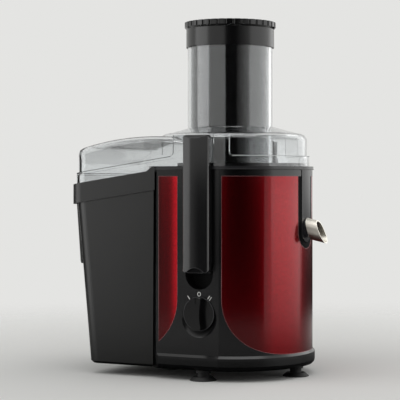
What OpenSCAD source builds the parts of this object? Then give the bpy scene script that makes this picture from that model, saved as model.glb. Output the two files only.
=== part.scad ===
// Centrifugal juicer with a wide feed tube, a side pulp container and two clamp latches.
// Origin on the table under the motor axis. +Z up, +X to the spout, -X to the pulp container,
// -Y to the speed knob. Millimetres.

/* [Body] */
// Radius of the body round the motor axis
body_r = 86; // [84:0.5:90]
// How much nearer the axis the flat front and rear faces are than the round wall
side_flat = 3; // [1:0.5:4]
// How much farther the back reaches behind the axis than the round wall in front
back_out = 2; // [1:0.5:4]
// How far the back face bulges past its corners
body_bulge = 38; // [35:1:40]
// Wall of the housings
housing_wall = 3.4; // [3:0.2:4]
// Height of the lower housing, base plate to seam
lower_h = 100; // [96:1:110]
// Height of the upper housing, seam to bowl flange
upper_h = 97.5; // [94:0.5:104]
// Thickness of the deck between the motor and the bowl well
deck_t = 3; // [2.5:0.5:4]
// Height of the black band over the red panels
top_band_h = 6.5; // [5:0.5:9]

/* [Base] */
// Height of the suction feet
foot_h = 11; // [9:0.5:14]
// Radius of a suction cup
foot_r = 14; // [11:0.5:15]
// Distance of the feet in from the round wall
foot_inset = 12.5; // [11:0.5:18]
// Height of the base plate
base_h = 11; // [10:0.5:14]
// How far the base stands out past the body
base_flare = 2.5; // [1.5:0.5:4]
// Radius of the base plate's lower edge
base_edge_r = 5; // [3:0.5:6]

/* [Panels] */
// Sheet thickness of the red panels
panel_t = 0.9; // [0.6:0.1:1.2]
// Height of the panels' lower edge over the base plate
panel_lift = 5; // [4:0.5:9]
// Half width of the black column between the panels
column_half = 25.5; // [22:0.5:28]
// Radius of the panels' swept lower corner
panel_corner_r = 58; // [45:1:62]
// Half width of the panel's cut-out round the spout slot
slot_frame_half = 18; // [15:0.5:20]
// Half width of the spout slot in the housing
slot_half = 12; // [11.5:0.25:13]

/* [Bowl and spout] */
// Wall of the juice bowl
bowl_wall = 2.2; // [1.8:0.2:3]
// Height of the bowl's flange
lip_h = 4; // [3:0.5:5]
// Room from the housings' seam up to the bowl's trough floor
well_h = 25.5; // [25:0.5:30]
// Radius of the hole in the bowl's raised centre
bowl_hub_r = 19; // [18.5:0.5:21]
// Height of the spout's centre line over the bowl's floor, at the tongue
spout_lift = 10.5; // [9:0.5:12]
// Fall of the spout's axis
spout_fall = 12.5; // [8:0.5:16]
// Width of the spout sleeve
spout_w = 17.5; // [16:0.5:19]
// Height of the spout sleeve
spout_h = 21.5; // [20:0.5:23]
// Length of the spout sleeve along its top
spout_len = 12; // [10:1:24]
// Wall of the spout sleeve
spout_wall = 0.9; // [0.8:0.1:1.2]

/* [Filter basket] */
// Running gap between the basket's rim and the bowl
basket_gap = 1.8; // [1.4:0.2:2.4]
// How much narrower the basket's floor is than its rim
mesh_lean = 19; // [17:0.5:20]
// Drop from the lid's seat to the top of the mesh
mesh_drop = 3.5; // [3:0.5:6]
// Thickness of the mesh
mesh_t = 0.8; // [0.6:0.1:1]
// Thickness of the grater disc
grater_t = 1.2; // [1:0.1:1.6]
// Height of the grater's teeth
tooth_h = 1.6; // [1.2:0.1:2]
// Number of curved rows of teeth
tooth_rows = 10; // [6:1:12]
// Teeth in each row
teeth_in_row = 8; // [5:1:9]

/* [Lid] */
// Distance of the lid's round wall in from the flat faces
lid_inset = 3; // [2:0.5:3.5]
// Wall of the clear lid
lid_t = 2.4; // [2:0.2:2.8]
// Height of the lid's skirt
skirt_h = 11; // [9:0.5:13]
// How far the skirt stands out past the wall
skirt_step = 2.4; // [1.6:0.2:2.6]
// Height of the lid's round wall and shoulder over its skirt
lid_wall_h = 24.5; // [22:0.5:27]
// Radius of the lid's shoulder
shoulder_r = 8; // [6:0.5:10]
// Rise of the dome to the feed tube
dome_rise = 7; // [5:0.5:9]
// Distance from the mesh's foot in to the feed tube, on the container's side
tube_inset = 1.8; // [1.4:0.1:3]
// Wall of the feed tube
tube_wall = 2.9; // [2.4:0.1:3.4]
// Height of the feed tube over the dome
tube_h = 106.5; // [90:0.5:120]
// Offset of the feed tube towards the pulp container
tube_x = 4; // [2:0.5:5]
// Radius of the chute cover's top, seen from the side
cover_arc_r = 320; // [280:5:380]
// Radius of the chute cover's end
cover_end_r = 20; // [10:1:22]

/* [Pusher] */
// Gap between the pusher and the feed tube
pusher_gap = 0.5; // [0.4:0.1:0.8]
// Wall of the pusher
pusher_wall = 2.2; // [1.8:0.2:3]
// Clearance from the pusher's foot to the grater's teeth
pusher_clear = 8; // [6:1:14]
// Height of the cap's skirt over the tube
cap_skirt_h = 19.7; // [14:0.5:24]
// Thickness of the cap's scalloped edge
cap_edge_h = 7.5; // [6:0.5:9]
// Number of finger notches round the cap
cap_notches = 36; // [24:2:48]

/* [Pulp container] */
// Distance of the container's far wall from the axis, at the rim
bin_reach = 158; // [150:1:162]
// Distance of the container's sides in from the body's flat faces
bin_inset = 1.5; // [1:0.5:2.5]
// Height of the container's floor over the table
bin_lift = 11.5; // [11:0.5:14]
// How far the far wall leans in, rim to floor
bin_taper = 19; // [14:1:28]
// Wall of the container
bin_wall = 2.2; // [1.8:0.2:3]
// Fall of the rim away from the body
rim_fall = 8.4; // [6:0.2:9]
// Height of the rim band
rim_band_h = 21; // [16:1:24]
// How far the rim band stands out
rim_band_t = 1.6; // [1:0.2:2]
// Height of the hand grip's lower edge over the container's floor
grip_z = 106.5; // [90:0.5:120]
// How far the hand grip's lower edge stands out from the far wall
grip_out = 6; // [5:0.5:9]
// Radius of the container's far corners
bin_corner_r = 16; // [12:1:22]

/* [Latches] */
// Width of a latch arm
latch_w = 30; // [26:0.5:30.5]
// Depth of a latch arm
latch_d = 10.5; // [9:0.5:12]
// Height of the latch's top over the lid's skirt
latch_rise = 21.5; // [20:0.5:23]
// Drop from the housings' seam to the latch pin
latch_pin_drop = 6; // [5.5:0.5:7]
// Radius of the latch pin
latch_pin_r = 1.5; // [1.2:0.1:1.8]
// Radius of the finger recess under a latch
recess_r = 16; // [15.5:0.25:17]
// Depth of the finger recess
recess_d = 15; // [12:1:17]

/* [Speed knob] */
// Height of the knob's axis over the table
knob_z = 70; // [67:0.5:72]
// Radius of the knob
knob_r = 17.5; // [14:0.5:18]
// Height of the knob's finger bar
knob_bar_h = 7.5; // [5:0.5:9]
// Depth of the dish round the knob
dish_d = 5; // [4:0.5:6]
// Radius of the knob's spindle
spindle_r = 3; // [2.5:0.25:4]

/* [Motor] */
// Radius of the motor shaft
shaft_r = 4; // [3.5:0.25:5]
// Width of the square stator pack
stator_w = 74; // [70:1:78]
// Height of the stator pack
stator_h = 34; // [30:1:36]
// How far the field coils stand out of the stator pack
coil_end = 7; // [5:0.5:8]
// Radius of the armature
armature_r = 23; // [21:0.5:24]
// Outer radius of the motor bearings
bearing_r = 9.5; // [9:0.25:11]
// Thickness of the motor bearings
bearing_t = 7; // [6:0.5:8]
// Radius of the cooling fan
fan_r = 33; // [28:0.5:36]
// Radius of the commutator
commutator_r = 12; // [10:0.5:14]
// Length of the commutator
commutator_h = 12; // [10:0.5:14]
// Radius of the shaft seal's seat in the deck
seal_r = 20; // [18:0.5:21]

/* [Hidden] */
$fn = 96;
seat = 0.3;             // gap where a loose piece seats
fit = 0.08;             // radial gap of a running fit
glue = 0.1;             // gap round a bonded panel
big = 400;              // longer than anything here

// Levels, from the table up
body_side = body_r - side_flat;
body_back = body_r + back_out - body_bulge;
base_z = foot_h;
body_z = base_z + base_h;
seam_z = body_z + lower_h;
top_z = seam_z + upper_h;
lip_z = top_z + lip_h;
ridge_z = lip_z + skirt_h;
shoulder_z = ridge_z + lid_wall_h;
dome_z = shoulder_z + dome_rise;
tube_top = dome_z + tube_h;
cap_top = tube_top + cap_edge_h;
floor_z = seam_z + well_h;
bowl_depth = top_z - floor_z;
panel_z = body_z + panel_lift;
panel_top = top_z - top_band_h;

// The bulged back face is an arc through the two back corners
back_r = (pow(body_bulge, 2) + pow(body_side, 2)) / (2 * body_bulge);
back_x = back_r - body_back - body_bulge;

// Slots and recesses follow what sits in them
panel_depth = panel_t + glue;
slot_z = floor_z - 4.5;
tongue_half = slot_half - 0.5;
bowl_r = body_side - housing_wall - 0.6;
bowl_in = bowl_r - bowl_wall;
flange_out = 1;
flange_gap = 0.8;       // shadow line under the flange

// Chute and container rim: both follow one line that falls away from the body
rim_slope = tan(rim_fall);
rim_z = lip_z - 3.6;
bin_gap = 1.8;
bin_foot_r = 2.5;       // chamfer round the container's floor
rim_shelf = 4.5;        // how far the far wall stands out past the cover
bin_side = body_side - bin_inset;
bin_lean = bin_taper / (rim_z - bin_lift);
bin_arc_r = back_r + bin_gap;
function rim_at(x) = rim_z + rim_slope * (x + body_back);
function ridge_at(x) = rim_at(x) + skirt_h + 0.5;

// Lid cover
lid_r = body_side - lid_inset;
cover_side = lid_r;
cover_back = 30;
lid_step_x = -body_back - 5.5;
cover_top = shoulder_z - 3.5;
cover_x = bin_reach - rim_shelf;
cover_arc_x = -60;
cover_line_x = -45;
cover_edge_r = 8;

// Basket and drive
basket_r = bowl_in - basket_gap;
basket_z = floor_z + 9.5;
grater_z = basket_z + 3;
mesh_top = lip_z - mesh_drop;
mesh_h = mesh_top - grater_z;
mesh_top_r = basket_r - 3.5;
rim_roll = 3;
rib_d = 1.2;
mesh_inset = 4;         // mesh foot inside the floor's raised edge
basket_floor_r = basket_r - mesh_lean;
tube_r = basket_floor_r - mesh_inset - tube_inset - tube_x;
grater_r = basket_floor_r - mesh_inset - 0.5;
hub_r = bowl_hub_r - 2.5;
hub_z = basket_z - 19;
socket_depth = 15;
coupling_r = 9;
lobe_r = 11.5;
tube_foot = grater_z + grater_t + tooth_h + 3;

// Motor stack, hung from the deck
mount_h = 6;
bracket_t = 4;
top_bracket_z = seam_z - mount_h - bracket_t;
stator_z = top_bracket_z - 12 - stator_h;
bottom_bracket_z = body_z + 8;
bolt_pitch = stator_w / 2 - 7;
mount_pitch = bolt_pitch + 9;
commutator_z = bottom_bracket_z + bearing_t + 14;
shaft_z = bottom_bracket_z - 1;
shaft_top = hub_z + 14;

// Screws: front pair on the round wall, back pair in the corners
screw_r = 2;
screw_boss_r = 5.5;
screw_head_r = 3.8;
screw_spots = [for (s = [-1, 1]) each [
    [(body_r - 7.5) * cos(45), s * (body_r - 7.5) * sin(45)],
    [-body_back + 6, s * (body_side - 6.5)]]];
foot_pitch = body_r - foot_inset;
foot_spots = [[foot_pitch, 0], [0, -foot_pitch], [-foot_pitch, 0], [0, foot_pitch]];
foot_stem_r = 4;

// Cord inlet
inlet_x = -20;
inlet_z = body_z + 14;
inlet_r = 6;
cord_r = 3.4;

// Latch
latch_gap = 0.4;
latch_pin_z = seam_z - latch_pin_drop;
latch_back_y = body_side + latch_gap;
latch_front_y = latch_back_y + latch_d;
latch_foot_z = latch_pin_z - 3;
latch_top = ridge_z + latch_rise;
hook_z = latch_top - 9;
pad_half = 31;
pad_y = lid_r + skirt_step;
pin_y = body_side - 5;
recess_z = latch_pin_z - 5;
recess_top = seam_z - 0.5;
latch_crown_r = 70;
thumb_w = 23;            // thumb scoop over the lip of a latch
thumb_h = 5.5;
thumb_d = 4.5;
thumb_out = (thumb_w * thumb_w / 4 - thumb_d * thumb_d) / (2 * thumb_d);
thumb_drop = (thumb_w * thumb_w / 4 - thumb_h * thumb_h) / (2 * thumb_h);
thumb_r = sqrt(thumb_out * thumb_out + thumb_drop * thumb_drop + thumb_w * thumb_w / 4);
lug_x = 10.5;
lug_w = 5;

// Knob
knob_gap = 0.6;
dish_z = knob_z - 4.8;
dish_r = knob_r + 2.7;
dish_wall = 2.4;
switch_y = -body_side + dish_d + dish_wall;
switch_w = 27;
switch_d = 18;
spindle_grip = 12;

// ---- shared outlines -------------------------------------------------------------------

// Plan of the body, grown by g all round and by back_g on the bulged back
module body_plan(g = 0, back_g = 0) {
    intersection() {
        translate([back_x, 0]) circle(back_r + back_g);
        union() {
            intersection() {
                circle(body_r + g);
                square([big, 2 * (body_side + g)], center = true);
            }
            translate([-body_r - 10, -body_side - g]) square([body_r + 10, 2 * (body_side + g)]);
        }
    }
}

// Slice of the body from z0 to z1 whose plan grows by g0 at the bottom and g1 at the top
module body_slice(z0, z1, g0, g1, back_g = 0) {
    intersection() {
        union() {
            translate([0, 0, z0]) cylinder(h = z1 - z0, r1 = body_r + g0, r2 = body_r + g1);
            translate([-body_r - 10, -big / 2, z0]) cube([body_r + 10, big, z1 - z0]);
        }
        end_prism(-big / 2, big / 2) polygon([
            [-body_side - g0, z0], [body_side + g0, z0],
            [body_side + g1, z1], [-body_side - g1, z1]]);
        prism(z0 - 1, z1 + 1) translate([back_x, 0]) circle(back_r + back_g);
    }
}

// Prism on a plan, from z0 to z1
module prism(z0, z1) {
    translate([0, 0, z0]) linear_extrude(z1 - z0) children();
}

// Extrudes an outline drawn in X and Z from y0 to y1
module side_prism(y0, y1) {
    translate([0, y1, 0]) rotate([90, 0, 0]) linear_extrude(y1 - y0) children();
}

// Extrudes an outline drawn in Y and Z from x0 to x1
module end_prism(x0, x1) {
    translate([x0, 0, 0]) rotate([90, 0, 90]) linear_extrude(x1 - x0) children();
}

// Cylinder along Y from y0 to y1, at x and z
module y_rod(x, z, y0, y1, r) {
    translate([x, y1, z]) rotate([90, 0, 0]) cylinder(h = y1 - y0, r = r);
}

module ring(z0, z1, r_out, r_in) {
    translate([0, 0, z0]) difference() {
        cylinder(h = z1 - z0, r = r_out);
        translate([0, 0, -1]) cylinder(h = z1 - z0 + 2, r = r_in);
    }
}

// Rectangle with round corners, centred
module soft_square(w, h, r) {
    square([w - 2 * r, h], center = true);
    square([w, h - 2 * r], center = true);
    for (x = [-1, 1], y = [-1, 1])
        translate([x * (w / 2 - r), y * (h / 2 - r)]) circle(r);
}

// Upright slot with round ends, between heights z0 and z1
module upright_slot(half, z0, z1) {
    translate([-half, z0 + half]) square([2 * half, z1 - z0 - half]);
    translate([0, z0 + half]) circle(half);
}

// Copies the child to the front and to the mirrored back
module front_and_back() {
    children();
    mirror([0, 1, 0]) children();
}

// ---- red panels ------------------------------------------------------------------------

// Side outline of a panel from the column outwards, with the swept lower corner; g grows it
module panel_outline(g, reach) {
    corner = panel_corner_r;
    x0 = column_half - g;
    z0 = panel_z - g;
    difference() {
        translate([x0, z0]) square([reach - x0, panel_top + g - z0]);
        difference() {
            translate([x0 - 1, z0 - 1]) square(corner + 1);
            translate([x0 + corner, z0 + corner]) circle(corner);
        }
    }
}

// The room a panel takes in the body's wall; g is the bonding gap
module spout_panel_room(g) {
    difference() {
        side_prism(-big / 2, big / 2) panel_outline(g, body_r + 5);
        end_prism(0, big / 2) upright_slot(slot_frame_half - g, slot_z - 7 + g, big);
    }
}

module side_panel_room(g) {
    side_prism(-big / 2, 0) mirror([1, 0]) panel_outline(g, body_back - 2.5 + g);
}

module panel_sheet(depth, skin) {
    difference() {
        prism(panel_z - 1, panel_top + 1) body_plan(skin, 0);
        prism(panel_z - 2, panel_top + 2) body_plan(-depth, 5);
    }
}

module panel_spout() {
    color("firebrick") intersection() {
        panel_sheet(panel_t, 0);
        spout_panel_room(0);
    }
}

module panel_knob_side() {
    color("firebrick") intersection() {
        panel_sheet(panel_t, 0);
        side_panel_room(0);
    }
}

module panel_back_side() {
    mirror([0, 1, 0]) panel_knob_side();
}

module panel_recesses() {
    intersection() {
        panel_sheet(panel_depth, 1);
        union() {
            spout_panel_room(glue);
            front_and_back() side_panel_room(glue);
        }
    }
}

// ---- base ------------------------------------------------------------------------------

module base_plate() {
    floor_t = 2.6;
    wall = 3;
    edge_step = 30;
    color([0.16, 0.16, 0.17]) difference() {
        union() {
            for (a = [0 : edge_step : 90 - edge_step])
                body_slice(base_z + base_edge_r * (1 - cos(a)),
                           base_z + base_edge_r * (1 - cos(a + edge_step)),
                           base_flare - base_edge_r * (1 - sin(a)),
                           base_flare - base_edge_r * (1 - sin(a + edge_step)));
            prism(base_z + base_edge_r, body_z) body_plan(base_flare, 0);
        }
        difference() {
            prism(base_z + floor_t, body_z + 1) body_plan(-wall, -wall);
            for (p = screw_spots)
                translate([p[0], p[1], base_z]) cylinder(h = base_h, r = screw_boss_r);
            for (p = foot_spots)
                translate([p[0], p[1], base_z]) cylinder(h = floor_t + 2.4, r = 8);
        }
        for (p = screw_spots) translate([p[0], p[1], base_z - 1]) {
            cylinder(h = base_h + 2, r = screw_r + 0.2);
            cylinder(h = 5, r = screw_head_r + 0.4);
        }
        for (p = foot_spots)
            translate([p[0], p[1], base_z - 1]) cylinder(h = base_h, r = foot_stem_r + fit);
        vent_slots(base_z - 1, base_z + floor_t + 1);
    }
}

// Two rows of cooling slots under the fan
module vent_slots(z0, z1) {
    for (i = [-4 : 4], s = [-1, 1])
        prism(z0, z1) translate([i * 8, s * 24]) soft_square(4, 26, 1.9);
}

// Suction foot: a cup with a hollow sole, a neck and a stem that snaps into the base
module foot() {
    rotate_extrude() {
        difference() {
            union() {
                polygon([[0, 0], [foot_r, 0], [foot_r, 0.8], [foot_r * 0.72, 4], [0, 4]]);
                square([6.2, foot_h - 2]);
                translate([0, foot_h - 2.6]) square([8, 2.6]);
                square([foot_stem_r, foot_h + 8]);
                translate([0, foot_h + 5.3]) square([foot_stem_r + 0.9, 2]);
            }
            polygon([[0, -1], [foot_r - 1.8, -1], [foot_r - 1.8, 0], [0, 2.6]]);
        }
    }
}

module placed_foot(i) {
    color([0.1, 0.1, 0.1]) translate([foot_spots[i][0], foot_spots[i][1], 0]) foot();
}

module foot_spout() { placed_foot(0); }
module foot_knob() { placed_foot(1); }
module foot_bin() { placed_foot(2); }
module foot_back() { placed_foot(3); }

module base_screws() {
    color("silver") for (p = screw_spots) translate([p[0], p[1], base_z + 1.2]) difference() {
        union() {
            cylinder(h = 2.8, r = screw_head_r);
            cylinder(h = base_h + 9, r = screw_r);
        }
        for (a = [0, 90]) rotate([0, 0, a]) cube([4.4, 1, 2.4], center = true);
    }
}

// ---- housings --------------------------------------------------------------------------

// Pocket behind the finger recess; g grows it to the outside of its wall
module recess_room(g, y_in) {
    side_prism(-big / 2, y_in) {
        translate([0, recess_z]) circle(recess_r + g);
        translate([-recess_r - g, recess_z]) square([2 * (recess_r + g), recess_top - recess_z]);
    }
}

// Round seat of the knob, and the finger scoop that opens out below it
module knob_dish() {
    y = -body_side;
    scoop_r = (pow(dish_r, 2) + pow(dish_d, 2)) / (2 * dish_d);
    y_rod(0, knob_z, y - 1, y + dish_d, knob_r + knob_gap);
    translate([0, y + dish_d - scoop_r, dish_z]) sphere(scoop_r, $fn = 180);
}

// Shadow line round the seam between the two housings
module seam_groove() {
    difference() {
        prism(seam_z - 0.5, seam_z + 1) body_plan(5, 5);
        prism(seam_z - 1, seam_z + 2) body_plan(-0.5, -0.5);
    }
}

module lower_housing() {
    color([0.13, 0.13, 0.14]) difference() {
        union() {
            difference() {
                union() {
                    prism(body_z, seam_z) body_plan();
                    prism(body_z, panel_z - base_flare) body_plan(base_flare, 0);
                    body_slice(panel_z - base_flare, panel_z, base_flare, 0);
                }
                prism(body_z - 1, seam_z + 1) body_plan(-housing_wall, -housing_wall);
            }
            front_and_back() intersection() {
                prism(body_z, seam_z) body_plan();
                recess_room(2.4, -body_side + recess_d + 2.4);
            }
            for (z = [dish_z, knob_z])
                y_rod(0, z, -body_side + 1, -body_side + dish_d + dish_wall, dish_r + 1);
            for (p = screw_spots)
                translate([p[0], p[1], body_z]) cylinder(h = 26, r = screw_boss_r);
        }
        panel_recesses();
        seam_groove();
        front_and_back() recess_room(0, -body_side + recess_d);
        knob_dish();
        y_rod(0, knob_z, -body_side, -body_side + 20, spindle_r + fit);
        for (s = [-1, 1]) translate([-big / 2, s * pin_y, latch_pin_z])
            rotate([0, 90, 0]) intersection() {
                cylinder(h = big, r = latch_pin_r + 0.02);
                translate([0, 0, big / 2]) cube([9, 9, 2 * (recess_r + 1.9)], center = true);
            }
        for (p = screw_spots)
            translate([p[0], p[1], body_z - 1]) cylinder(h = 18, r = screw_r + 0.02);
        y_rod(inlet_x, inlet_z, body_side - 20, body_side + 10, inlet_r + 0.05);
    }
}

// The slot that the bowl's tongue slides down, open at the top
module tongue_slot(half, z0) {
    end_prism(body_r - 14, body_r + 5) upright_slot(half, z0, big);
}

module upper_housing() {
    color([0.13, 0.13, 0.14]) difference() {
        union() {
            difference() {
                prism(seam_z, top_z) body_plan();
                prism(seam_z + deck_t, top_z + 1) body_plan(-housing_wall, -housing_wall);
            }
            ring(seam_z, seam_z + deck_t + 6, seal_r + 6, seal_r + 3);
            bin_hooks(0);
        }
        panel_recesses();
        tongue_slot(slot_half, slot_z - 0.5);
        translate([0, 0, seam_z - 1]) cylinder(h = deck_t + 2, r = seal_r);
    }
}

// Two sloped hooks on the back that the pulp container hangs on; g is the clearance
module bin_hooks(g) {
    for (s = [-1, 1])
        translate([-sqrt(pow(back_r, 2) - pow(34, 2)) + back_x, s * 34, rim_z - 22])
            rotate([0, -rim_fall, 0]) translate([-2.5, 0, 0])
                cube([11 + g, 12 + 2 * g, 4 + 2 * g], center = true);
}

// Cord gland in the back wall
module cord_inlet() {
    color([0.08, 0.08, 0.08]) difference() {
        union() {
            y_rod(inlet_x, inlet_z, body_side - housing_wall - 4, body_side + 2, inlet_r);
            y_rod(inlet_x, inlet_z, body_side, body_side + 3, inlet_r + 2);
            y_rod(inlet_x, inlet_z, body_side - housing_wall - 4, body_side - housing_wall,
                  inlet_r + 1.5);
        }
        y_rod(inlet_x, inlet_z, body_side - 20, body_side + 10, cord_r);
    }
}

// ---- motor -----------------------------------------------------------------------------

module at_corners(pitch) {
    for (x = [-1, 1], y = [-1, 1]) translate([x * pitch, y * pitch, 0]) children();
}

module motor_mounts() {
    color([0.1, 0.1, 0.1]) at_corners(mount_pitch) {
        ring(seam_z - mount_h, seam_z, 6, 2.2);
    }
}

module motor_top_bracket() {
    z = top_bracket_z;
    color("silver") difference() {
        union() {
            for (a = [45, 135]) rotate([0, 0, a])
                prism(z, z + bracket_t) soft_square(2 * mount_pitch * sqrt(2) + 14, 14, 6.9);
            translate([0, 0, z - 5]) cylinder(h = bracket_t + 5, r = bearing_r + 3);
        }
        translate([0, 0, z - 6]) cylinder(h = bracket_t + 7, r = bearing_r + 0.02);
        at_corners(bolt_pitch) translate([0, 0, z - 1]) cylinder(h = bracket_t + 2, r = 2.2);
        at_corners(mount_pitch) translate([0, 0, z - 1]) cylinder(h = bracket_t + 2, r = 2.2);
    }
}

module motor_bottom_bracket() {
    z = bottom_bracket_z;
    color("silver") difference() {
        union() {
            for (a = [45, 135]) rotate([0, 0, a])
                prism(z, z + bracket_t) soft_square(2 * bolt_pitch * sqrt(2) + 12, 12, 5.9);
            translate([0, 0, z]) cylinder(h = bearing_t, r = bearing_r + 3);
        }
        translate([0, 0, z - 1]) cylinder(h = bearing_t + 2, r = bearing_r + 0.02);
        at_corners(bolt_pitch) translate([0, 0, z - 1]) cylinder(h = bracket_t + 2, r = 2.2);
    }
}

// Through bolts with their spacer sleeves
module motor_bolts() {
    z0 = bottom_bracket_z;
    color("gray") at_corners(bolt_pitch) {
        translate([0, 0, z0 - 3]) cylinder(h = 3, r = 3.6);
        translate([0, 0, z0 - 1]) cylinder(h = top_bracket_z + bracket_t - z0 + 1, r = 2.1);
        translate([0, 0, z0 + bracket_t]) cylinder(h = stator_z - z0 - bracket_t, r = 3.6);
        translate([0, 0, stator_z + stator_h])
            cylinder(h = top_bracket_z - stator_z - stator_h, r = 3.6);
    }
}

module stator() {
    color([0.5, 0.5, 0.52]) difference() {
        prism(stator_z, stator_z + stator_h) difference() {
            soft_square(stator_w, stator_w, 8);
            circle(armature_r + 0.7);
            for (s = [-1, 1]) translate([0, s * (armature_r + 5)]) soft_square(32, 13, 3);
        }
        at_corners(bolt_pitch)
            translate([0, 0, stator_z - 1]) cylinder(h = stator_h + 2, r = 2.2);
    }
}

// One wound coil on each pole, standing out above and below the pack
module field_coils() {
    z0 = stator_z - coil_end;
    color([0.72, 0.42, 0.2]) for (s = [-1, 1]) difference() {
        prism(z0, stator_z + stator_h + coil_end)
            translate([0, s * (armature_r + 5)]) soft_square(31, 12, 2.9);
        prism(z0 - 1, stator_z + stator_h + coil_end + 1) circle(armature_r + 0.7);
    }
}

module armature() {
    color([0.55, 0.55, 0.57]) difference() {
        translate([0, 0, stator_z]) cylinder(h = stator_h, r = armature_r);
        translate([0, 0, stator_z - 1]) cylinder(h = stator_h + 2, r = shaft_r);
        for (i = [0 : 11]) rotate([0, 0, i * 30])
            prism(stator_z - 1, stator_z + stator_h + 1)
                translate([armature_r - 2, -0.9]) square([4, 1.8]);
    }
}

// Enamelled end windings of the armature, above and below its pack
module armature_winding() {
    wound_r = armature_r - 4;
    color([0.72, 0.4, 0.18]) {
        ring(commutator_z + commutator_h + seat, stator_z, wound_r, shaft_r);
        ring(stator_z + stator_h, stator_z + stator_h + 4, wound_r, shaft_r);
    }
}

module commutator() {
    color([0.75, 0.45, 0.25]) difference() {
        translate([0, 0, commutator_z]) cylinder(h = commutator_h, r = commutator_r);
        translate([0, 0, commutator_z - 1]) cylinder(h = commutator_h + 2, r = shaft_r);
        for (i = [0 : 17]) rotate([0, 0, i * 20])
            translate([commutator_r - 0.8, -0.25, commutator_z - 1])
                cube([2, 0.5, commutator_h + 2]);
    }
}

// Carbon brushes in their brass holders, carried by the stator's lower face
module brush_holders() {
    color([0.75, 0.6, 0.25]) for (s = [0, 1]) mirror([s, 0, 0]) {
        translate([commutator_r + seat, -3, commutator_z + 2]) cube([16, 6, 8]);
        translate([20, -5, commutator_z]) cube([12, 10, commutator_h]);
        translate([28, -5, commutator_z]) cube([4, 10, stator_z - commutator_z]);
    }
}

module motor_shaft() {
    color("silver") translate([0, 0, shaft_z]) cylinder(h = shaft_top - shaft_z, r = shaft_r);
}

// Centrifugal fan: a back plate, a hub and swept blades
module cooling_fan() {
    z = bottom_bracket_z + bearing_t + 2;
    color([0.2, 0.2, 0.22]) difference() {
        union() {
            translate([0, 0, z]) cylinder(h = 11, r = shaft_r + 4);
            translate([0, 0, z + 9]) cylinder(h = 2, r = fan_r);
            for (i = [0 : 10]) rotate([0, 0, i * 360 / 11])
                translate([shaft_r + 3, 0, z]) rotate([0, 0, 18])
                    cube([fan_r - shaft_r - 4.5, 1.4, 9.5]);
        }
        translate([0, 0, z - 1]) cylinder(h = 13, r = shaft_r);
    }
}

module bearing(z) {
    color("lightgray") rotate_extrude() translate([0, z]) difference() {
        translate([shaft_r + fit / 2, 0]) square([bearing_r - shaft_r - fit / 2, bearing_t]);
        for (s = [0, 1]) translate([(shaft_r + bearing_r) / 2 - 1.1, s * bearing_t - 0.6])
            square([2.2, 1.2]);
    }
}

module top_bearing() { bearing(top_bracket_z - 3); }
module bottom_bearing() { bearing(bottom_bracket_z); }

// Lip seal that keeps juice off the motor
module shaft_seal() {
    color([0.35, 0.12, 0.1]) rotate_extrude() translate([0, seam_z]) {
        translate([shaft_r + 0.05, 0]) square([3, 2.6]);
        translate([shaft_r + 1, 0]) square([seal_r - shaft_r - 1, 1.4]);
        translate([seal_r - 3, 0]) square([3, deck_t]);
    }
}

// Six rounded lobes; g grows them for the socket
module lobes(g) {
    circle(coupling_r + g);
    for (i = [0 : 5]) rotate(i * 60) translate([lobe_r - 2.5, 0]) circle(2.5 + g);
}

module drive_coupling() {
    z0 = seam_z + deck_t + 1;
    color([0.85, 0.85, 0.82]) difference() {
        union() {
            translate([0, 0, z0]) cylinder(h = hub_z - z0, r = lobe_r + 3.5);
            prism(hub_z - 1, hub_z + socket_depth - 0.5) lobes(0);
        }
        translate([0, 0, z0 - 1]) cylinder(h = shaft_top - z0 + 1, r = shaft_r);
    }
}

// ---- controls --------------------------------------------------------------------------

module speed_switch() {
    color([0.2, 0.2, 0.22]) difference() {
        union() {
            translate([-switch_w / 2, switch_y, knob_z - switch_w / 2])
                cube([switch_w, switch_d, switch_w]);
            for (i = [-1 : 1])
                translate([i * switch_w / 3.5 - 1.6, switch_y + switch_d - 1, knob_z - 6])
                    cube([3.2, 9, 1]);
        }
        y_rod(0, knob_z, switch_y - 1, switch_y + spindle_grip + 1, spindle_r + fit);
    }
}

// Microswitch on the back of the front finger recess
module safety_switch() {
    y0 = -body_side + recess_d + 2.4;
    color([0.22, 0.2, 0.2]) translate([0, y0, recess_z]) {
        translate([-10, 0, -3]) cube([20, 6.5, 11]);
        for (x = [-7, 0, 7]) translate([x - 1.2, 6, 0]) cube([2.4, 6, 0.8]);
    }
}

// Round knob with a waisted finger bar and a spindle
module speed_knob() {
    face_y = -body_side - 1;
    back_y = -body_side + dish_d - latch_gap;
    bar_y = face_y - knob_bar_h;
    color([0.12, 0.12, 0.13]) difference() {
        union() {
            y_rod(0, knob_z, face_y, back_y, knob_r);
            intersection() {
                side_prism(bar_y, face_y + 1) translate([0, knob_z]) knob_bar();
                translate([0, 0, knob_z]) rotate([90, 0, 0])
                    cylinder(h = big, r = knob_r - 0.4);
            }
            y_rod(0, knob_z, back_y - 1, switch_y + spindle_grip, spindle_r);
        }
        translate([-0.6, bar_y - 1, knob_z + knob_r - 7]) cube([1.2, 1.8, 9]);
    }
}

// Outline of the finger bar: its sides curve in towards the middle
module knob_bar() {
    difference() {
        square([11, 2 * knob_r], center = true);
        for (s = [-1, 1]) translate([s * (4.2 + 60), 0]) circle(60);
    }
}

// ---- latches ---------------------------------------------------------------------------

// Section of the arm, seen from above, between its back and its crowned face
module latch_section() {
    r = 4.5;
    intersection() {
        union() {
            translate([-latch_w / 2, latch_back_y]) square([latch_w, latch_d - r]);
            translate([-latch_w / 2 + r, latch_back_y]) square([latch_w - 2 * r, latch_d]);
            for (s = [-1, 1]) translate([s * (latch_w / 2 - r), latch_front_y - r]) circle(r);
        }
        translate([0, latch_front_y - latch_crown_r]) circle(latch_crown_r, $fn = 360);
    }
}

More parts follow.
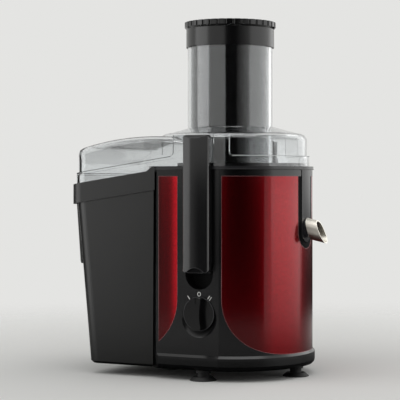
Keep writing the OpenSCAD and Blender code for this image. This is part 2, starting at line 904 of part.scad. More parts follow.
// Face outline of the arm with round corners
module latch_face() {
    h = latch_top - latch_foot_z;
    translate([0, latch_foot_z + h / 2]) soft_square(latch_w, h, 5);
}

// Side outline of the arm: round over the top, less so at the finger lip
module latch_side() {
    top_r = 5;
    lip_r = 3;
    y0 = latch_back_y - 6;
    depth = latch_front_y - y0;
    translate([y0, latch_foot_z]) square([depth - lip_r, top_r]);
    translate([y0, latch_foot_z + lip_r]) square([depth, latch_top - latch_foot_z - lip_r - top_r]);
    translate([y0, latch_top - top_r - 1]) square([depth - top_r, top_r + 1]);
    translate([latch_front_y - lip_r, latch_foot_z + lip_r]) circle(lip_r);
    translate([latch_front_y - top_r, latch_top - top_r]) circle(top_r);
}

module latch_back() {
    pocket_half = latch_w / 2 - 2.6;
    color([0.14, 0.14, 0.15]) difference() {
        union() {
            intersection() {
                prism(latch_foot_z, latch_top) latch_section();
                side_prism(0, big / 2) latch_face();
                end_prism(-latch_w, latch_w) latch_side();
            }
            translate([-latch_w / 2 + 1, pad_y - 2.4, hook_z])
                cube([latch_w - 2, latch_back_y - pad_y + 3.4, latch_top - hook_z - 3]);
            for (s = [-1, 1]) translate([s * lug_x - lug_w / 2, 0, latch_pin_z]) {
                translate([0, pin_y, 0]) rotate([0, 90, 0]) cylinder(h = lug_w, r = 4.2);
                translate([0, pin_y, -3]) cube([lug_w, latch_back_y + 1 - pin_y, 7.2]);
            }
        }
        translate([-pocket_half, latch_back_y - 1, latch_pin_z + 8])
            cube([2 * pocket_half, latch_d - 1.8, hook_z - latch_pin_z - 12]);
        translate([-latch_w, pin_y, latch_pin_z]) rotate([0, 90, 0])
            cylinder(h = 2 * latch_w, r = latch_pin_r + fit);
        translate([0, latch_front_y + thumb_out, latch_foot_z - thumb_drop]) sphere(thumb_r);
    }
}

module latch_front() {
    mirror([0, 1, 0]) latch_back();
}

module latch_pin_back() {
    half = recess_r + 1.8;
    color("silver") translate([-half, pin_y, latch_pin_z]) rotate([0, 90, 0])
        cylinder(h = 2 * half, r = latch_pin_r);
}

module latch_pin_front() {
    mirror([0, 1, 0]) latch_pin_back();
}

// ---- juice bowl and spout --------------------------------------------------------------

// Oval section of the spout, standing upright, grown by g
module spout_oval(g) {
    r = spout_w / 2 + g;
    d = (spout_h - spout_w) / 2;
    for (s = [-1, 1]) translate([0, s * d]) circle(r);
    square([2 * r, 2 * d], center = true);
}

// Tube of that section along the falling axis, from x0 to x1 past the tongue
module spout_run(g, x0, x1) {
    translate([body_r, 0, floor_z + spout_lift]) rotate([0, spout_fall, 0])
        end_prism(x0, x1) spout_oval(g);
}

module juice_bowl() {
    color([0.1, 0.1, 0.11]) difference() {
        union() {
            rotate_extrude() {
                translate([bowl_in, floor_z - bowl_wall]) square([bowl_wall, bowl_depth + bowl_wall]);
                translate([bowl_hub_r, floor_z - bowl_wall])
                    square([bowl_in - bowl_hub_r + 1, bowl_wall]);
                translate([bowl_hub_r, floor_z - bowl_wall])
                    square([bowl_wall, basket_z - floor_z + bowl_wall - 1.5]);
            }
            prism(top_z, lip_z) body_plan(-flange_out, -flange_out);
            prism(top_z + flange_gap, lip_z) body_plan(flange_out, flange_out);
            difference() {
                ring(lip_z - 1, lip_z + 3.4, bowl_r, bowl_in);
                translate([-big - cover_back, -big / 2, lip_z]) cube([big, big, 10]);
            }
            bowl_tongue();
            spout_run(-spout_wall - 0.05, -14, 6);
        }
        translate([0, 0, top_z - 1]) cylinder(h = lip_h + 2, r = bowl_in);
        spout_run(-spout_wall - 1.6, -20, 20);
        front_and_back() translate([-latch_w / 2 - 0.5, body_side + 0.2, top_z - 1])
            cube([latch_w + 1, 10, lip_h + 2]);
    }
}

// Tongue that closes the housing's slot: it follows the round wall and ends in the slot's tip
module bowl_tongue() {
    intersection() {
        difference() {
            prism(slot_z, top_z + 1) circle(body_r + 0.6);
            prism(slot_z - 1, top_z + 2) circle(bowl_in);
        }
        end_prism(0, big / 2) upright_slot(tongue_half, slot_z, big);
    }
}

module spout_sleeve() {
    color([0.8, 0.78, 0.72]) difference() {
        spout_run(0, -4, spout_len + 22);
        spout_run(-spout_wall, -5, spout_len + 23);
        translate([body_r + 3.6, 0, floor_z + spout_lift]) rotate([0, -13.5, 0])
            translate([-20, -20, -30]) cube([20, 40, 60]);
        translate([body_r + spout_len + 4, 0, floor_z + spout_lift]) rotate([0, -23, 0])
            translate([0, -20, -30]) cube([40, 40, 60]);
    }
}

// ---- filter basket ---------------------------------------------------------------------

module basket_base() {
    color([0.12, 0.12, 0.12]) difference() {
        union() {
            translate([0, 0, hub_z]) cylinder(h = grater_z - hub_z, r = hub_r);
            translate([0, 0, basket_z]) cylinder(h = grater_z - basket_z, r = basket_floor_r);
            ring(basket_z, grater_z + 4, basket_floor_r, basket_floor_r - 1.6);
            ring(basket_z - 6, basket_z + 1, bowl_hub_r + bowl_wall + 3, bowl_hub_r + bowl_wall + 1.2);
        }
        prism(hub_z - 1, hub_z + socket_depth) lobes(0.25);
        translate([0, 0, hub_z]) cylinder(h = 40, r = 2.6);
    }
}

function cone_r(z, g) = basket_floor_r - mesh_inset + g
    + (mesh_top_r - basket_floor_r + mesh_inset) * (z - grater_z) / mesh_h;

// Fine mesh wall of the basket
module filter_mesh() {
    color([0.78, 0.78, 0.8]) rotate_extrude() polygon([
        [cone_r(grater_z, 0), grater_z], [cone_r(grater_z, mesh_t), grater_z],
        [cone_r(mesh_top, mesh_t), mesh_top], [cone_r(mesh_top, 0), mesh_top]]);
}

// Rolled rim of the basket
module basket_rim() {
    z0 = mesh_top - rim_roll;
    color([0.72, 0.72, 0.75]) rotate_extrude() polygon([
        [cone_r(z0, mesh_t), z0], [basket_r - 1.2, z0], [basket_r, z0 + 1.4],
        [basket_r, mesh_top + 2], [cone_r(mesh_top, 0), mesh_top + 2],
        [cone_r(mesh_top, 0), mesh_top], [cone_r(mesh_top, mesh_t), mesh_top]]);
}

// Stiffening strips down the outside of the mesh, up to the rim
module basket_ribs() {
    z0 = grater_z + 5;
    z1 = mesh_top - rim_roll;
    r0 = cone_r(z0, mesh_t);
    r1 = cone_r(z1, mesh_t);
    color([0.72, 0.72, 0.75]) for (i = [0 : 7]) rotate([0, 0, i * 45])
        side_prism(-1, 1) polygon([[r0, z0], [r0 + rib_d, z0], [r1 + rib_d, z1], [r1, z1]]);
}

// Grater disc: curved rows of wedge teeth pressed up out of the sheet
module grater_disc() {
    z = grater_z + grater_t;
    color([0.8, 0.8, 0.82]) difference() {
        union() {
            translate([0, 0, grater_z]) cylinder(h = grater_t, r = grater_r);
            for (row = [0 : tooth_rows - 1], i = [0 : teeth_in_row - 1])
                rotate([0, 0, row * 360 / tooth_rows + i * 7])
                    translate([12 + i * (grater_r - 16) / teeth_in_row, 0, z])
                        rotate([0, 0, 20]) tooth();
        }
        translate([0, 0, grater_z - 1]) cylinder(h = 10, r = 2.6);
    }
}

module tooth() {
    translate([0, 1.1, -0.3]) rotate([90, 0, 0]) linear_extrude(2.2)
        polygon([[-1.6, 0], [1.2, 0], [1.2, tooth_h + 0.3]]);
}

module grater_nut() {
    z = grater_z + grater_t;
    color("silver") {
        translate([0, 0, z - 7]) cylinder(h = 7.5, r = 2.5);
        translate([0, 0, z]) cylinder(h = 2.4, r = 6);
        translate([0, 0, z + 2.3]) cylinder(h = 2.2, r1 = 6, r2 = 3);
    }
}

// ---- lid -------------------------------------------------------------------------------

// Round cap of the lid, as half its section: wall, shoulder and low dome, inset by t
module cap_half(t) {
    r = lid_r - t;
    s = shoulder_r - t;
    z = shoulder_z - t;
    square([r, z - s]);
    square([r - s, z]);
    translate([r - s, z - s]) circle(s);
    polygon([[0, z - 1], [r - s, z - 1], [r - s, z], [tube_r, dome_z - t], [0, dome_z - t]]);
}

// Side outline of the chute cover: a long arc with a round end
module cover_side_outline(t) {
    arc_r = cover_arc_r - t;
    arc_z = cover_top - cover_arc_r;
    end_r = cover_end_r - t;
    end_x = -cover_x + cover_end_r;
    end_z = arc_z + sqrt(pow(cover_arc_r - cover_end_r, 2) - pow(end_x - cover_arc_x, 2));
    intersection() {
        translate([cover_arc_x, arc_z]) circle(arc_r, $fn = 360);
        translate([end_x, floor_z]) square([-end_x, big]);
    }
    translate([end_x, end_z]) circle(end_r);
    translate([end_x - end_r, floor_z]) square([end_r + 1, end_z - floor_z]);
}

// Plan of the chute cover with round far corners
module cover_plan(g) {
    r = bin_corner_r - 2 + g;
    side = cover_side + g;
    x = -cover_x - g;
    translate([x + r, -side]) square([-x - r, 2 * side]);
    translate([x, -side + r]) square([-x, 2 * (side - r)]);
    for (s = [-1, 1]) translate([x + r, s * (side - r)]) circle(r);
}

// Slab with rounded long edges, bent to the cover's arc
module cover_slab(t) {
    r = cover_edge_r - t;
    half = cover_side - t;
    top = cover_arc_r - t;
    translate([cover_arc_x, 0, cover_top - cover_arc_r]) rotate([90, 0, 0])
        rotate_extrude($fn = 360) {
            translate([top - 120, -half]) square([120 - r, 2 * half]);
            translate([top - 120, -half + r]) square([120, 2 * (half - r)]);
            for (s = [-1, 1]) translate([top - r, s * (half - r)]) circle(r);
        }
}

module lid_bulk(t) {
    rotate_extrude() cap_half(t);
    intersection() {
        side_prism(-lid_r - 5, lid_r + 5) cover_side_outline(t);
        prism(floor_z, big) cover_plan(-t);
        cover_slab(t);
    }
}

// Side outline of the skirt: level round the bowl, falling along the container's rim
module skirt_outline(top, low) {
    x_level = -body_back + (ridge_z - ridge_at(-body_back)) / rim_slope;
    x_end = -bin_reach - 10;
    polygon([[big / 4, ridge_z + top], [big / 4, lip_z + low], [lid_step_x, lip_z + low],
             [lid_step_x, rim_at(lid_step_x) + seat + low], [x_end, rim_at(x_end) + seat + low],
             [x_end, ridge_at(x_end) + top], [x_level, ridge_z + top]]);
}

// Everything above the lid's lower edge
module above_edge() {
    x_end = -bin_reach - 10;
    polygon([[big / 4, big], [big / 4, lip_z], [lid_step_x, lip_z],
             [lid_step_x, rim_at(lid_step_x) + seat], [x_end, rim_at(x_end) + seat], [x_end, big]]);
}

module skirt_plan(g) {
    circle(lid_r + g);
    cover_plan(g);
}

// Pads on the lid's sides, flush with the skirt, that the latches hook over
module latch_pads() {
    fillet = 4;
    pad_h = shoulder_z - shoulder_r - ridge_z + 5;
    intersection() {
        difference() {
            prism(ridge_z - 2, ridge_z + pad_h) skirt_plan(skirt_step);
            prism(ridge_z - 3, ridge_z + pad_h + 1) skirt_plan(-lid_t / 2);
        }
        side_prism(-big / 2, big / 2) {
            translate([-pad_half, ridge_z - 2]) square([2 * pad_half, pad_h + 2]);
            difference() {
                translate([-pad_half - fillet, ridge_z - 1]) square([2 * (pad_half + fillet), fillet + 1]);
                for (s = [-1, 1]) translate([s * (pad_half + fillet), ridge_z + fillet]) circle(fillet);
            }
        }
    }
}

module hook_notch() {
    translate([-latch_w / 2 - 0.5, pad_y - 2.8, hook_z - seat])
        cube([latch_w + 1, 20, latch_top]);
}

module lid() {
    color([0.85, 0.9, 0.92, 0.5]) difference() {
        union() {
            difference() {
                intersection() {
                    union() {
                        lid_bulk(0);
                        intersection() {
                            prism(floor_z, ridge_z + 1) skirt_plan(skirt_step);
                            side_prism(-big / 2, big / 2) skirt_outline(0, 0);
                        }
                        latch_pads();
                    }
                    side_prism(-big / 2, big / 2) above_edge();
                }
                lid_bulk(lid_t);
                intersection() {
                    prism(floor_z, ridge_z + 1) skirt_plan(skirt_step - lid_t);
                    side_prism(-big / 2, big / 2) skirt_outline(-lid_t, -5);
                }
                front_and_back() hook_notch();
                front_and_back() translate([cover_line_x - 0.4, lid_r - 0.7, ridge_z + 0.8])
                    cube([0.8, 5, big]);
            }
            translate([-tube_x, 0, tube_foot]) cylinder(h = tube_top - tube_foot, r = tube_r);
        }
        translate([-tube_x, 0, tube_foot - 1])
            cylinder(h = tube_top - tube_foot + 2, r = tube_r - tube_wall);
    }
}

// ---- pusher ----------------------------------------------------------------------------

module pusher_body() {
    r = tube_r - tube_wall - pusher_gap;
    z0 = grater_z + grater_t + tooth_h + pusher_clear;
    color([0.3, 0.32, 0.33]) translate([-tube_x, 0, 0]) difference() {
        union() {
            translate([0, 0, z0 + 3]) cylinder(h = tube_top - z0 - 3, r = r);
            translate([0, 0, z0]) cylinder(h = 3.01, r1 = r - 3, r2 = r);
        }
        translate([0, 0, z0 + 3]) cylinder(h = big, r = r - pusher_wall);
    }
}

module pusher_cap() {
    z0 = tube_top - cap_skirt_h;
    r_skirt = tube_r + seat + 1.4;
    r_edge = r_skirt + 1.7;
    r_in = tube_r - tube_wall - pusher_gap - pusher_wall;
    color([0.25, 0.25, 0.26]) translate([-tube_x, 0, 0]) difference() {
        union() {
            translate([0, 0, z0]) cylinder(h = cap_skirt_h + 3, r = r_skirt);
            translate([0, 0, tube_top]) cylinder(h = 2, r1 = r_skirt, r2 = r_edge);
            translate([0, 0, tube_top + 2]) cylinder(h = cap_edge_h - 2, r = r_edge);
        }
        translate([0, 0, z0 - 1]) cylinder(h = cap_skirt_h + 1, r = tube_r + seat);
        translate([0, 0, tube_top - 1]) cylinder(h = big, r = r_in);
        for (i = [0 : cap_notches - 1]) rotate([0, 0, i * 360 / cap_notches])
            translate([r_edge + 0.6, 0, tube_top + 2]) cylinder(h = cap_edge_h, r = 1.8);
    }
}

// ---- pulp container --------------------------------------------------------------------

// Plan of the container at one height: far wall at reach, round far corners, inset by t
module bin_plan(reach, side, t) {
    r = bin_corner_r - t;
    translate([-reach + t + r, -side + t]) square([reach - t - r, 2 * (side - t)]);
    for (s = [-1, 1]) translate([-reach + t + r, s * (side - t - r)]) circle(r, $fn = 48);
}

// Tapered tub between its chamfered floor and a level well over its rim, inset by t
module bin_tub(t) {
    z0 = bin_lift + t;
    z1 = rim_z + 10;
    foot_reach = bin_reach - bin_taper;
    hull() {
        prism(z0, z0 + 0.1) bin_plan(foot_reach + bin_lean * t, bin_side - 2, t + bin_foot_r);
        prism(z0 + bin_foot_r, z0 + bin_foot_r + 0.1)
            bin_plan(foot_reach + bin_lean * (t + bin_foot_r), bin_side - 2, t);
        prism(z1, z1 + 0.1) bin_plan(bin_reach + bin_lean * 10, bin_side, t);
    }
}

// Everything between two lines that run parallel to the rim, drop and drop + h below it
module rim_layer(drop, h) {
    x = -bin_reach - 10;
    polygon([[x, rim_at(x) - drop], [0, rim_at(0) - drop],
             [0, rim_at(0) - drop - h], [x, rim_at(x) - drop - h]]);
}

module bin_back_cut(t) {
    translate([back_x, 0, 0]) cylinder(h = big, r = bin_arc_r + t, $fn = 180);
}

module pulp_container() {
    color([0.13, 0.13, 0.14]) difference() {
        union() {
            intersection() {
                bin_tub(0);
                side_prism(-big / 2, big / 2) rim_layer(0, rim_z);
            }
            intersection() {
                prism(bin_lift, rim_z + 5) bin_plan(bin_reach + rim_band_t, bin_side + rim_band_t, 0);
                side_prism(-big / 2, big / 2) rim_layer(0, rim_band_h);
            }
            front_and_back() rim_ear();
            bin_grip();
        }
        difference() {
            bin_tub(bin_wall);
            bin_back_cut(bin_wall);
            difference() {
                side_prism(-big / 2, big / 2) rim_layer(-10, 13);
                prism(bin_lift, big) bin_plan(bin_reach - rim_shelf, bin_side - rim_shelf + 1, 2);
            }
        }
        bin_back_cut(0);
        bin_hooks(seat);
    }
}

// Upturned end of the rim beside the body, outside the lid's skirt
module rim_ear() {
    x = -body_back - 2;
    side_prism(bin_side + 1.2, bin_side + rim_band_t)
        polygon([[x, rim_at(x) - 1], [x, lip_z], [x - 3, lip_z], [x - 13, rim_at(x - 13) - 1]]);
}

// Hand grip on the far wall under the rim band, open below for the fingertips
module bin_grip() {
    z0 = bin_lift + grip_z;
    z1 = rim_at(-bin_reach) - rim_band_h + 1;
    far = bin_reach - bin_lean * (rim_z - z0);
    lip = far + grip_out;
    side_prism(-bin_side + bin_corner_r + 1, bin_side - bin_corner_r - 1) polygon([
        [-far + 1 - bin_lean * 34, z0 + 34], [-far - 3.4 - bin_lean * 24, z0 + 24], [-lip + 2.6, z0],
        [-lip + 1, z0], [-lip, z0 + 2], [-bin_reach - rim_band_t, z1], [-far + 4, z1]]);
}

// ---- what is drawn ---------------------------------------------------------------------

base_plate();
foot_spout();
foot_knob();
foot_bin();
foot_back();
base_screws();
lower_housing();
upper_housing();
panel_spout();
panel_knob_side();
panel_back_side();
cord_inlet();
motor_mounts();
motor_top_bracket();
motor_bottom_bracket();
motor_bolts();
stator();
field_coils();
armature();
armature_winding();
commutator();
brush_holders();
motor_shaft();
cooling_fan();
top_bearing();
bottom_bearing();
shaft_seal();
drive_coupling();
speed_switch();
safety_switch();
speed_knob();
latch_front();
latch_back();
latch_pin_front();
latch_pin_back();
juice_bowl();
spout_sleeve();
basket_base();
filter_mesh();
basket_rim();
basket_ribs();
grater_disc();
grater_nut();
lid();
pusher_body();
pusher_cap();
pulp_container();
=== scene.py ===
# %% [markdown]
# # A centrifugal juicer, dressed for the studio
# The CAD frame already holds every rigid piece at its real size. This script gives each surface
# its finish, adds what is too thin for a solid (fine edge lines, printed dial marks, mesh holes),
# and sets up a plain pale studio with one camera.

# %% Load the frame
import math

import bpy
import bmesh
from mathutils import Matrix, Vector


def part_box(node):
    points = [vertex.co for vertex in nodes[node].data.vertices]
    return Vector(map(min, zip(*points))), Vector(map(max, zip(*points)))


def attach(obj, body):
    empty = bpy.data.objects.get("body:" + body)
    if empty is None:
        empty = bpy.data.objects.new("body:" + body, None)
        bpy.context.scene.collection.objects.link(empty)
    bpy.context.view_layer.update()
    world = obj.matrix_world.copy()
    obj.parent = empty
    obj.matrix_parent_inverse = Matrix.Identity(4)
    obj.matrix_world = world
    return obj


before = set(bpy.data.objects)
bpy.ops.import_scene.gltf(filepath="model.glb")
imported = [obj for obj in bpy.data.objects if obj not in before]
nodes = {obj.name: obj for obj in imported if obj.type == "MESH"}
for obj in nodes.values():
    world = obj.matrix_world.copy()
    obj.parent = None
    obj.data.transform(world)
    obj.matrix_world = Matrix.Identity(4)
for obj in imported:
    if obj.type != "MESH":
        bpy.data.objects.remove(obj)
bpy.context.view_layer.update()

# %% [markdown]
# Sizes are read from the frame wherever it holds them. The looks are not measured: the lamps, the
# cards and most colours and gloss values were adjusted by trial until one view looked right. One
# millimetre is 0.001 in Blender's metres, and `MM` keeps that readable. The body is a round drum
# with two flat sides: `body_r` reaches from its axis to the round end, `body_side` to a flat side.

# %% Measure the body
MM = 0.001
housing_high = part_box("upper_housing")[1]
body_r, body_side = housing_high.x, housing_high.y
print("body radius", round(body_r / MM, 1), "mm, half width", round(body_side / MM, 1), "mm")

# %% [markdown]
# Colours are written as sRGB hex, the way a paint card gives them. Blender's shaders work in
# linear light, so one function turns one into the other.

# %% Colour helper


def linear(hex_code):
    channels = [int(hex_code[i : i + 2], 16) / 255 for i in (1, 3, 5)]
    bright = [c / 12.92 if c <= 0.04045 else ((c + 0.055) / 1.055) ** 2.4 for c in channels]
    return (*bright, 1.0)


print("mid grey in linear light:", round(linear("#808080")[0], 3))

# %% [markdown]
# A material is a small graph of nodes. `add_node` makes one node, sets its plain values and links
# its inputs. The short functions after it name what the finishes below are made of: a place on
# the piece, a noise of some grain in millimetres, a stretch of one range to another, a bump.
# `start` makes a material with its shader, and `feed` links results to that shader.

# %% Node helpers


def add_node(owner, kind, inputs=None, **settings):
    node = owner.node_tree.nodes.new("ShaderNode" + kind)
    for key, value in settings.items():
        setattr(node, key, value)
    for key, value in (inputs or {}).items():
        if isinstance(value, bpy.types.NodeSocket):
            owner.node_tree.links.new(value, node.inputs[key])
        else:
            node.inputs[key].default_value = value
    return node


def start(name, **values):
    material = bpy.data.materials.new(name)
    material.use_nodes = True
    shader = material.node_tree.nodes["Principled BSDF"]
    for key, value in values.items():
        shader.inputs[key.replace("_", " ")].default_value = value
    return material


def feed(material, **results):
    shader = material.node_tree.nodes["Principled BSDF"]
    for key, result in results.items():
        material.node_tree.links.new(result, shader.inputs[key.replace("_", " ")])


def fed_by(material, key):
    """What is linked to one of the shader's inputs."""
    return material.node_tree.nodes["Principled BSDF"].inputs[key].links[0].from_socket


def place_on(material):
    return add_node(material, "TexCoord").outputs["Object"]


def maths(owner, operation, *values):
    return add_node(owner, "Math", dict(enumerate(values)), operation=operation).outputs["Value"]


def noise(material, place, grain_mm, detail=2.0):
    inputs = {"Vector": place, "Scale": 1 / (grain_mm * MM), "Detail": detail}
    return add_node(material, "TexNoise", inputs).outputs["Fac"]


def stretched(material, value, low, high, first=0.0, last=1.0, **settings):
    """A value that runs from first to last, made to run from low to high."""
    inputs = {"Value": value, "From Min": first, "From Max": last, "To Min": low, "To Max": high}
    return add_node(material, "MapRange", inputs, **settings).outputs["Result"]


def bump(material, height, strength, depth):
    inputs = {"Height": height, "Strength": strength, "Distance": depth}
    return add_node(material, "Bump", inputs)


print("node helpers ready")

# %% [markdown]
# ## Finishes
# Moulded ABS is a hard, slightly glossy plastic. Its skin copies the steel mould, which is
# spark-eroded to a fine grain on housings: the eye sees a soft highlight with a little sparkle in
# it. A noise texture in object space, about a millimetre across, bends the normals; a second and
# much larger one varies the gloss, as handling does.

# %% Moulded plastic
SKIN_DEPTH = 0.05 * MM
HANDLING_MM = 60


def moulded(name, colour, roughness, grain_mm, grain_depth, gloss_spread=0.05):
    material = start(name, Base_Color=linear(colour), IOR=1.53)
    place = place_on(material)
    grain = bump(material, noise(material, place, grain_mm), grain_depth, SKIN_DEPTH)
    handling = noise(material, place, HANDLING_MM, detail=3.0)
    gloss = stretched(material, handling, roughness - gloss_spread, roughness + gloss_spread)
    feed(material, Roughness=gloss, Normal=grain.outputs["Normal"])
    return material


gloss_abs = moulded("gloss_black_moulded_abs", "#080809", 0.2, 0.9, 0.05)
bowl_abs = moulded("gloss_dark_grey_moulded_abs", "#28282a", 0.2, 0.9, 0.05)
satin_abs = moulded("satin_black_moulded_abs", "#060605", 0.34, 0.7, 0.12)
latch_abs = moulded("polished_black_moulded_abs", "#161617", 0.12, 1.2, 0.02, 0.02)
cap_abs = moulded("dark_grey_moulded_abs", "#0a0a0b", 0.2, 1.0, 0.05)
dark_nylon = moulded("glass_filled_moulded_nylon", "#1d1e20", 0.5, 0.5, 0.25)
acetal = moulded("natural_moulded_acetal", "#d9d6cb", 0.38, 0.8, 0.06)
rubber = moulded("black_moulded_rubber", "#141414", 0.62, 0.4, 0.3)
silicone = moulded("brick_red_moulded_silicone", "#7c2a20", 0.55, 0.5, 0.2)
print("plastics and rubbers made")

# %% [markdown]
# Both housings are gloss ABS with places that look much darker, where shade falls in a recess or
# beside a part. A rougher, duller finish paints that shade there. Its strength was set by trial and
# says nothing about the real surface. The function below takes a mask that is 1 in such a place. On
# the lower housing these are the finger recesses and the dish round the knob. They lie nearer the
# body's axis than any outer wall does, so that distance makes the mask.

# %% Lower housing with painted shade in the recesses
SHADE_ROUGHNESS = 0.4
RECESS_STEP = 2 * MM


def paint_dull_shade(material, mask, shine):
    """Paints shade under the mask: adds roughness and dulls the shine there to a lower level."""
    rougher = maths(material, "MULTIPLY_ADD", mask, SHADE_ROUGHNESS, fed_by(material, "Roughness"))
    duller = stretched(material, mask, 0.5, shine)
    feed(material, Roughness=rougher, Specular_IOR_Level=duller)


housing_abs = moulded("gloss_black_moulded_abs_painted_recess_shade", "#141415", 0.2, 0.9, 0.05)
flat_place = {0: place_on(housing_abs), 1: (1, 1, 0)}
from_above = add_node(housing_abs, "VectorMath", flat_place, operation="MULTIPLY").outputs["Vector"]
from_axis = add_node(housing_abs, "VectorMath", {0: from_above}, operation="LENGTH").outputs["Value"]
recess_shade_mask = stretched(housing_abs, from_axis, 1.0, 0.0, body_side - RECESS_STEP, body_side)
# Painted shade: the recesses and the knob's dish are made rougher and duller than the housing round
# them.
paint_dull_shade(housing_abs, recess_shade_mask, shine=0.12)
print("coarse recesses made")

# %% [markdown]
# On the upper housing it is the narrow strip on each side of the juice tongue, between the two edges
# of the red panel. The CAD has no step there, and the dull finish is painted shade, set for how dark
# the strip looks. Why the strip is dark is not known: the CAD has no step there, and the dull finish
# only stands for the look.

# %% Upper housing with painted shade on the strips by the tongue
shell_abs = moulded("gloss_black_moulded_abs_painted_strip_shade", "#080809", 0.2, 0.9, 0.05)
panel_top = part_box("panel_spout")[1].z
panel_points = [v.co for v in nodes["panel_spout"].data.vertices]
panel_gap = min(abs(point.y) for point in panel_points if point.z > panel_top - 1 * MM)
shell_place = add_node(shell_abs, "SeparateXYZ", {"Vector": place_on(shell_abs)}).outputs
between = maths(shell_abs, "LESS_THAN", maths(shell_abs, "ABSOLUTE", shell_place["Y"]), panel_gap)
below_top = maths(shell_abs, "LESS_THAN", shell_place["Z"], panel_top)
at_spout = maths(shell_abs, "GREATER_THAN", shell_place["X"], 0.0)
strip_shade_mask = maths(shell_abs, "MULTIPLY", maths(shell_abs, "MULTIPLY", between, below_top), at_spout)
# Painted shade: the strips by the tongue are made rougher and duller than the housing round them.
paint_dull_shade(shell_abs, strip_shade_mask, shine=0.05)
print("coarse strips lie within", round(2 * panel_gap / MM, 1), "mm at the spout side")

# %% [markdown]
# The side panels are steel sheet with a candy lacquer: aluminium flake under a red-tinted clear
# coat. That gives a deep colour in the shade and a broad pink glow where it mirrors a lamp. The
# flakes are too fine to show, so cells of 1.2 mm stand in for groups of them and tilt the metal
# layer a little; the clear coat above stays smooth.

# %% Lacquered steel
FLAKE_GROUP = 1.2 * MM
red_lacquer = start(
    "candy_red_lacquered_steel",
    Metallic=1.0,
    Roughness=0.27,
    Coat_Weight=0.6,
    Coat_Roughness=0.08,
    Coat_IOR=1.5,
)
flakes = {"Vector": place_on(red_lacquer), "Scale": 1 / FLAKE_GROUP}
flake = add_node(red_lacquer, "TexVoronoi", flakes)
flake_tint = add_node(red_lacquer, "Mix", {"Factor": flake.outputs["Color"]}, data_type="RGBA")
flake_tint.inputs["A"].default_value = linear("#72070f")
flake_tint.inputs["B"].default_value = linear("#860c16")
flake_tilt = bump(red_lacquer, flake.outputs["Distance"], 0.05, 0.1 * MM)
feed(red_lacquer, Base_Color=flake_tint.outputs["Result"], Normal=flake_tilt.outputs["Normal"])
print("lacquer made")

# %% [markdown]
# The two narrow strips on the flat sides are flat in the CAD, yet darken towards one side as a
# curved sheet would. A parabola fed to the bump input turns their reflections that way. It is a
# stand-in for shading only: its radius and middle were found by trial, and a real hollow of that
# radius would be about three millimetres deep.

# %% Hollow strips
HOLLOW_R = 34 * MM
HOLLOW_AT = 0.66
strip_lacquer = red_lacquer.copy()
strip_lacquer.name = "candy_red_lacquered_steel_hollow"
strip_low, strip_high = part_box("panel_knob_side")
strip_w = strip_high.x - strip_low.x
strip_place = add_node(strip_lacquer, "SeparateXYZ", {"Vector": place_on(strip_lacquer)}).outputs
across = maths(strip_lacquer, "SUBTRACT", strip_place["X"], strip_low.x + HOLLOW_AT * strip_w)
rise = maths(strip_lacquer, "MULTIPLY", maths(strip_lacquer, "POWER", across, 2), 0.5 / HOLLOW_R)
hollow = bump(strip_lacquer, rise, 1.0, 1.0)
strip_lacquer.node_tree.links.new(fed_by(strip_lacquer, "Normal"), hollow.inputs["Normal"])
feed(strip_lacquer, Normal=hollow.outputs["Normal"])
print("hollow made on strips", round(strip_w / MM, 1), "mm wide")

# %% [markdown]
# Polycarbonate is clear, hard and refracts more than acrylic (IOR 1.58). The moulded surface is
# almost perfect, with faint waves a couple of centimetres long that make reflections wander. The
# pusher is styrene-acrylonitrile, smoked grey, seen through the tube.

# %% Clear and smoked plastic
WAVE_MM = 22
FLOW_MM = 30
clear_pc = start(
    "clear_moulded_polycarbonate",
    Base_Color=linear("#e9ebec"),
    IOR=1.58,
    Roughness=0.03,
    Transmission_Weight=1.0,
)
wave = bump(clear_pc, noise(clear_pc, place_on(clear_pc), WAVE_MM, detail=1.0), 0.08, 0.4 * MM)
feed(clear_pc, Normal=wave.outputs["Normal"])

smoked_san = start(
    "smoked_grey_moulded_san",
    Base_Color=linear("#0c0d0e"),
    IOR=1.57,
    Roughness=0.2,
    Coat_Weight=1.0,
    Coat_Roughness=0.12,
)
flow = noise(smoked_san, place_on(smoked_san), FLOW_MM)
feed(smoked_san, Roughness=stretched(smoked_san, flow, 0.16, 0.26))
print("clear and smoked plastic made")

# %% [markdown]
# Metals take their colour from their reflection. The only differences between a plated spout, a
# brushed basket rim and a lamination stack are tint, roughness and the direction of the marks, so
# one function covers them: noise stretched along the direction of brushing, at the scratch width.

# %% Metals
SMUDGE_MM = 18


def metal(name, colour, roughness, scratch_mm=0.0, stretch=(1, 1, 1), depth=0.1):
    material = start(name, Base_Color=linear(colour), Metallic=1.0, Roughness=roughness)
    place = place_on(material)
    if scratch_mm:
        drawn = add_node(material, "Mapping", {"Vector": place, "Scale": stretch}).outputs["Vector"]
        marks = bump(material, noise(material, drawn, scratch_mm), depth, SKIN_DEPTH)
        feed(material, Normal=marks.outputs["Normal"])
    smudge = noise(material, place, SMUDGE_MM, detail=3.0)
    feed(material, Roughness=stretched(material, smudge, roughness * 0.8, roughness * 1.3))
    return material


